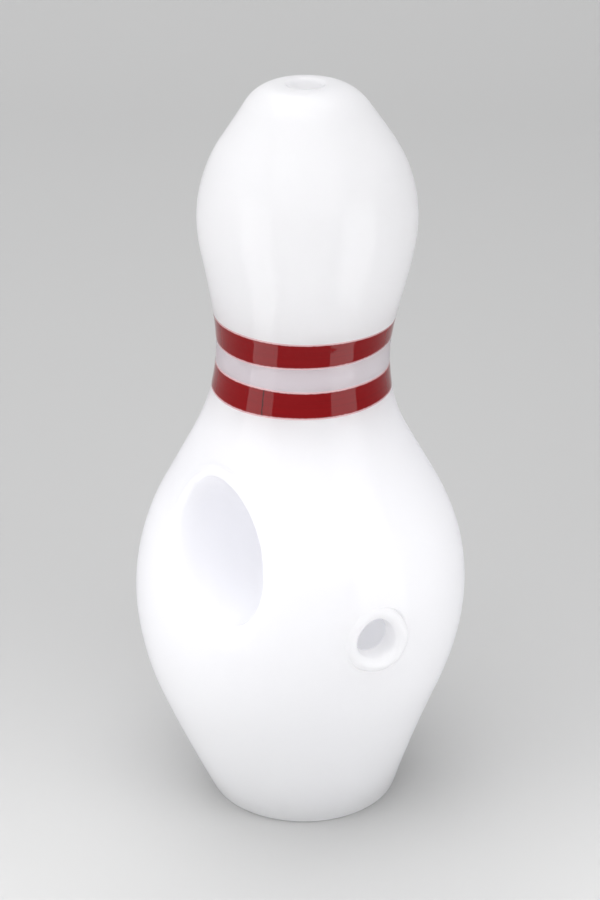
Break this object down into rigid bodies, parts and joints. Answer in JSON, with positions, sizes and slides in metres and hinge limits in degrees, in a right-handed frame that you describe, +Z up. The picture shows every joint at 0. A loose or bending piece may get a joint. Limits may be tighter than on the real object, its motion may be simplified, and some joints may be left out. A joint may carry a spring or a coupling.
{
  "type": "pin-shaped glass hand pipe",
  "caption": "Hollow blown-glass hand pipe shaped as a bowling pin, with a pushed-in oval bowl, a ringed carburettor hole, a mouth hole in the top and red wraps at the neck.",
  "frame": {"origin": "centre of the foot's flat underside, on the pin's axis", "axes": "+Z up the pin's axis to the mouth hole, -Y to the side with the bowl and the carburettor hole, +X to the carburettor hole's side"},
  "size_m": [0.0506, 0.0506, 0.114],
  "materials": {
    "opal_glass": "gloss, opaque white opal glass, fire-polished",
    "red_glass": "gloss, opaque deep red glass, fire-polished"
  },
  "bodies": {
    "root": {"mouth_lip": "opal_glass", "head_shell": "opal_glass", "upper_red_band": "red_glass", "neck_ring": "opal_glass", "lower_red_band": "red_glass", "belly_shell": "opal_glass", "bowl_cup": "opal_glass", "carb_lip": "opal_glass", "foot_disc": "opal_glass"}
  },
  "joints": []
}
